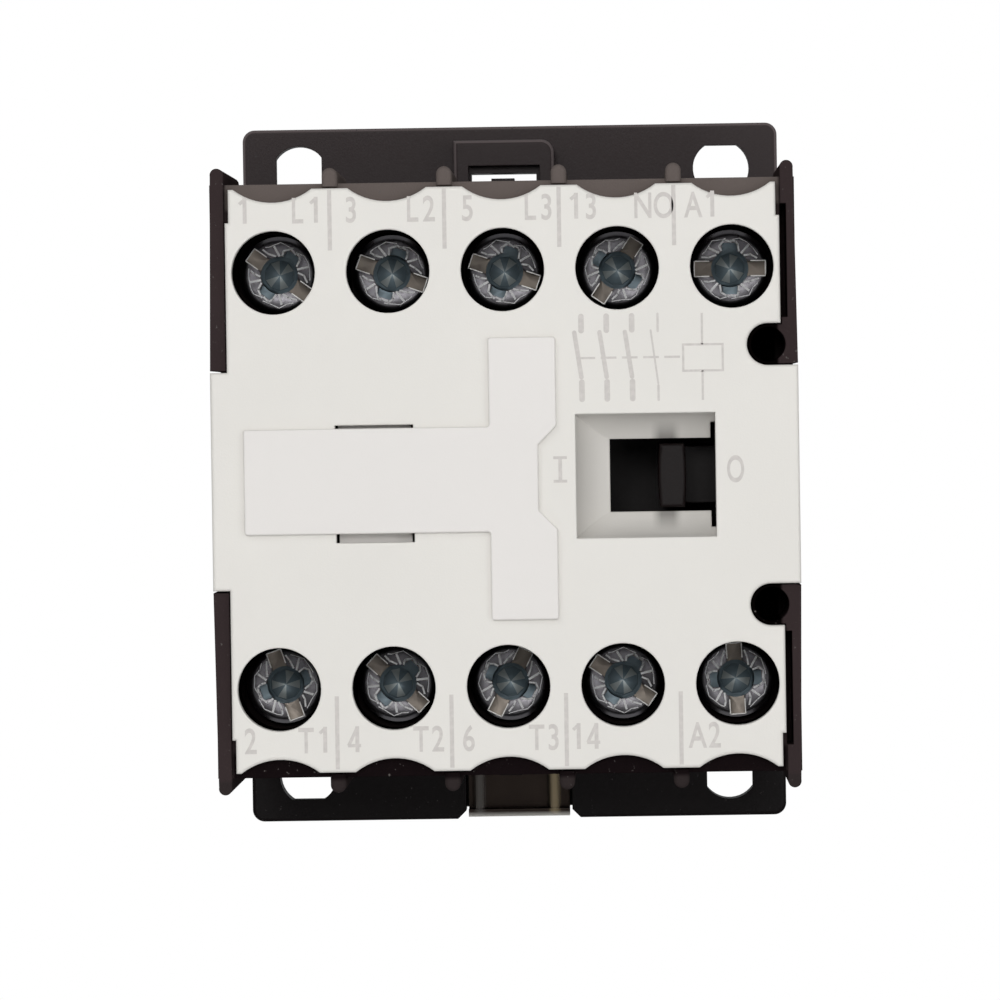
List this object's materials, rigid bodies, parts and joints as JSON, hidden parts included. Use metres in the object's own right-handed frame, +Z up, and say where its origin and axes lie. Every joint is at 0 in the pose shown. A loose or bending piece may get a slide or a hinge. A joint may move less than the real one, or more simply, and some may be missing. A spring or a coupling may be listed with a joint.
{
  "type": "din rail contactor",
  "caption": "Miniature three-pole contactor with an auxiliary contact, clip-on rail foot, screw clamp terminals and a sliding position indicator.",
  "frame": {"origin": "centre of the four screw holes, on the rear mounting face", "axes": "+X to the right seen from the front, +Y into the mounting surface (the front faces -Y), +Z up with the line terminals on top"},
  "size_m": [0.045, 0.0525, 0.0574],
  "materials": {
    "black_housing": "fine-grained moulded plastic, satin black with a brown cast",
    "grey_cover": "fine-grained moulded plastic, light warm grey",
    "label_white": "smooth moulded plastic, slightly whiter than the cover",
    "carrier_black": "moulded black plastic",
    "bobbin_plastic": "glass-filled natural plastic",
    "latch_steel": "zinc-plated bright sheet steel",
    "spring_steel": "drawn spring wire",
    "zinc_screw": "blue-passivated zinc plate",
    "zinc_saddle": "zinc-plated pressed steel",
    "copper_alloy": "bare rolled copper alloy",
    "tinned_brass": "tinned brass strip",
    "silver": "silver contact alloy",
    "core_steel": "laminated electrical steel",
    "copper_wire": "enamelled copper wire",
    "lead_insulation": "insulated lead wire",
    "pad_rubber": "soft rubber"
  },
  "bodies": {
    "housing": {"base_housing": "black_housing", "contact_housing": "black_housing", "front_cover": "grey_cover", "label_plate": "label_white", "rail_latch_spring": "spring_steel", "fixed_contact_tips": "silver", "magnet_core": "core_steel", "shading_rings": "copper_alloy", "coil_bobbin": "bobbin_plastic", "coil_winding": "copper_wire", "coil_leads": "lead_insulation", "core_pads": "pad_rubber", "return_springs": "spring_steel", "fixed_contact_1_L1": "copper_alloy", "fixed_contact_3_L2": "copper_alloy", "fixed_contact_5_L3": "copper_alloy", "fixed_contact_13_NO": "copper_alloy", "coil_terminal_A1": "tinned_brass", "fixed_contact_2_T1": "copper_alloy", "fixed_contact_4_T2": "copper_alloy", "fixed_contact_6_T3": "copper_alloy", "fixed_contact_14_NO": "copper_alloy", "coil_terminal_A2": "tinned_brass"},
    "carrier": {"contact_carrier": "carrier_black", "armature": "core_steel", "armature_pin": "latch_steel", "contact_spring_1": "spring_steel", "contact_spring_2": "spring_steel", "contact_spring_3": "spring_steel", "contact_spring_4": "spring_steel"},
    "bridge_1": {"contact_bridge_1": "copper_alloy", "bridge_tips_1": "silver"},
    "bridge_2": {"contact_bridge_2": "copper_alloy", "bridge_tips_2": "silver"},
    "bridge_3": {"contact_bridge_3": "copper_alloy", "bridge_tips_3": "silver"},
    "bridge_4": {"contact_bridge_4": "copper_alloy", "bridge_tips_4": "silver"},
    "latch": {"rail_latch": "latch_steel"},
    "saddle_1_L1": {"clamp_saddle_1_L1": "zinc_saddle"},
    "screw_1_L1": {"terminal_screw_1_L1": "zinc_screw"},
    "saddle_3_L2": {"clamp_saddle_3_L2": "zinc_saddle"},
    "screw_3_L2": {"terminal_screw_3_L2": "zinc_screw"},
    "saddle_5_L3": {"clamp_saddle_5_L3": "zinc_saddle"},
    "screw_5_L3": {"terminal_screw_5_L3": "zinc_screw"},
    "saddle_13_NO": {"clamp_saddle_13_NO": "zinc_saddle"},
    "screw_13_NO": {"terminal_screw_13_NO": "zinc_screw"},
    "saddle_A1": {"clamp_saddle_A1": "zinc_saddle"},
    "screw_A1": {"terminal_screw_A1": "zinc_screw"},
    "saddle_2_T1": {"clamp_saddle_2_T1": "zinc_saddle"},
    "screw_2_T1": {"terminal_screw_2_T1": "zinc_screw"},
    "saddle_4_T2": {"clamp_saddle_4_T2": "zinc_saddle"},
    "screw_4_T2": {"terminal_screw_4_T2": "zinc_screw"},
    "saddle_6_T3": {"clamp_saddle_6_T3": "zinc_saddle"},
    "screw_6_T3": {"terminal_screw_6_T3": "zinc_screw"},
    "saddle_14_NO": {"clamp_saddle_14_NO": "zinc_saddle"},
    "screw_14_NO": {"terminal_screw_14_NO": "zinc_screw"},
    "saddle_A2": {"clamp_saddle_A2": "zinc_saddle"},
    "screw_A2": {"terminal_screw_A2": "zinc_screw"}
  },
  "joints": [
    {"name": "carrier_travel", "type": "slide", "parent": "housing", "child": "carrier", "axis": [-1, 0, 0], "range_m": [0, 0.0028], "stiffness_N_per_m": 300, "springref_m": -0.006, "deforming": ["return_springs"]},
    {"name": "bridge_overtravel_1", "type": "slide", "parent": "carrier", "child": "bridge_1", "axis": [1, 0, 0], "range_m": [0, 0.0009], "deforming": ["contact_spring_1"]},
    {"name": "bridge_overtravel_2", "type": "slide", "parent": "carrier", "child": "bridge_2", "axis": [1, 0, 0], "range_m": [0, 0.0009], "deforming": ["contact_spring_2"]},
    {"name": "bridge_overtravel_3", "type": "slide", "parent": "carrier", "child": "bridge_3", "axis": [1, 0, 0], "range_m": [0, 0.0009], "deforming": ["contact_spring_3"]},
    {"name": "bridge_overtravel_4", "type": "slide", "parent": "carrier", "child": "bridge_4", "axis": [1, 0, 0], "range_m": [0, 0.0009], "deforming": ["contact_spring_4"]},
    {"name": "rail_latch_slide", "type": "slide", "parent": "housing", "child": "latch", "axis": [0, 0, -1], "range_m": [0, 0.0026], "stiffness_N_per_m": 600, "springref_m": -0.002, "deforming": ["rail_latch_spring"]},
    {"name": "saddle_slide_1_L1", "type": "slide", "parent": "housing", "child": "saddle_1_L1", "axis": [0, 1, 0], "range_m": [0, 0.002]},
    {"name": "screw_turn_1_L1", "type": "hinge", "parent": "saddle_1_L1", "child": "screw_1_L1", "pos_m": [-0.01754, -0.0404, 0.01595], "axis": [0, 1, 0], "range_deg": [0, 1260]},
    {"name": "saddle_slide_3_L2", "type": "slide", "parent": "housing", "child": "saddle_3_L2", "axis": [0, 1, 0], "range_m": [0, 0.002]},
    {"name": "screw_turn_3_L2", "type": "hinge", "parent": "saddle_3_L2", "child": "screw_3_L2", "pos_m": [-0.00877, -0.0404, 0.01595], "axis": [0, 1, 0], "range_deg": [0, 1260]},
    {"name": "saddle_slide_5_L3", "type": "slide", "parent": "housing", "child": "saddle_5_L3", "axis": [0, 1, 0], "range_m": [0, 0.002]},
    {"name": "screw_turn_5_L3", "type": "hinge", "parent": "saddle_5_L3", "child": "screw_5_L3", "pos_m": [0, -0.0404, 0.01595], "axis": [0, 1, 0], "range_deg": [0, 1260]},
    {"name": "saddle_slide_13_NO", "type": "slide", "parent": "housing", "child": "saddle_13_NO", "axis": [0, 1, 0], "range_m": [0, 0.002]},
    {"name": "screw_turn_13_NO", "type": "hinge", "parent": "saddle_13_NO", "child": "screw_13_NO", "pos_m": [0.00877, -0.0404, 0.01595], "axis": [0, 1, 0], "range_deg": [0, 1260]},
    {"name": "saddle_slide_A1", "type": "slide", "parent": "housing", "child": "saddle_A1", "axis": [0, 1, 0], "range_m": [0, 0.002]},
    {"name": "screw_turn_A1", "type": "hinge", "parent": "saddle_A1", "child": "screw_A1", "pos_m": [0.01754, -0.0404, 0.01595], "axis": [0, 1, 0], "range_deg": [0, 1260]},
    {"name": "saddle_slide_2_T1", "type": "slide", "parent": "housing", "child": "saddle_2_T1", "axis": [0, 1, 0], "range_m": [0, 0.002]},
    {"name": "screw_turn_2_T1", "type": "hinge", "parent": "saddle_2_T1", "child": "screw_2_T1", "pos_m": [-0.01754, -0.0404, -0.01595], "axis": [0, 1, 0], "range_deg": [0, 1260]},
    {"name": "saddle_slide_4_T2", "type": "slide", "parent": "housing", "child": "saddle_4_T2", "axis": [0, 1, 0], "range_m": [0, 0.002]},
    {"name": "screw_turn_4_T2", "type": "hinge", "parent": "saddle_4_T2", "child": "screw_4_T2", "pos_m": [-0.00877, -0.0404, -0.01595], "axis": [0, 1, 0], "range_deg": [0, 1260]},
    {"name": "saddle_slide_6_T3", "type": "slide", "parent": "housing", "child": "saddle_6_T3", "axis": [0, 1, 0], "range_m": [0, 0.002]},
    {"name": "screw_turn_6_T3", "type": "hinge", "parent": "saddle_6_T3", "child": "screw_6_T3", "pos_m": [0, -0.0404, -0.01595], "axis": [0, 1, 0], "range_deg": [0, 1260]},
    {"name": "saddle_slide_14_NO", "type": "slide", "parent": "housing", "child": "saddle_14_NO", "axis": [0, 1, 0], "range_m": [0, 0.002]},
    {"name": "screw_turn_14_NO", "type": "hinge", "parent": "saddle_14_NO", "child": "screw_14_NO", "pos_m": [0.00877, -0.0404, -0.01595], "axis": [0, 1, 0], "range_deg": [0, 1260]},
    {"name": "saddle_slide_A2", "type": "slide", "parent": "housing", "child": "saddle_A2", "axis": [0, 1, 0], "range_m": [0, 0.002]},
    {"name": "screw_turn_A2", "type": "hinge", "parent": "saddle_A2", "child": "screw_A2", "pos_m": [0.01754, -0.0404, -0.01595], "axis": [0, 1, 0], "range_deg": [0, 1260]}
  ],
  "couplings": [
    {"joint": "bridge_overtravel_1", "follows": "carrier_travel", "ratio": 0.29},
    {"joint": "bridge_overtravel_2", "follows": "carrier_travel", "ratio": 0.29},
    {"joint": "bridge_overtravel_3", "follows": "carrier_travel", "ratio": 0.29},
    {"joint": "bridge_overtravel_4", "follows": "carrier_travel", "ratio": 0.29},
    {"joint": "screw_turn_1_L1", "follows": "saddle_slide_1_L1", "rad_per_m": 10472},
    {"joint": "screw_turn_3_L2", "follows": "saddle_slide_3_L2", "rad_per_m": 10472},
    {"joint": "screw_turn_5_L3", "follows": "saddle_slide_5_L3", "rad_per_m": 10472},
    {"joint": "screw_turn_13_NO", "follows": "saddle_slide_13_NO", "rad_per_m": 10472},
    {"joint": "screw_turn_A1", "follows": "saddle_slide_A1", "rad_per_m": 10472},
    {"joint": "screw_turn_2_T1", "follows": "saddle_slide_2_T1", "rad_per_m": 10472},
    {"joint": "screw_turn_4_T2", "follows": "saddle_slide_4_T2", "rad_per_m": 10472},
    {"joint": "screw_turn_6_T3", "follows": "saddle_slide_6_T3", "rad_per_m": 10472},
    {"joint": "screw_turn_14_NO", "follows": "saddle_slide_14_NO", "rad_per_m": 10472},
    {"joint": "screw_turn_A2", "follows": "saddle_slide_A2", "rad_per_m": 10472}
  ]
}
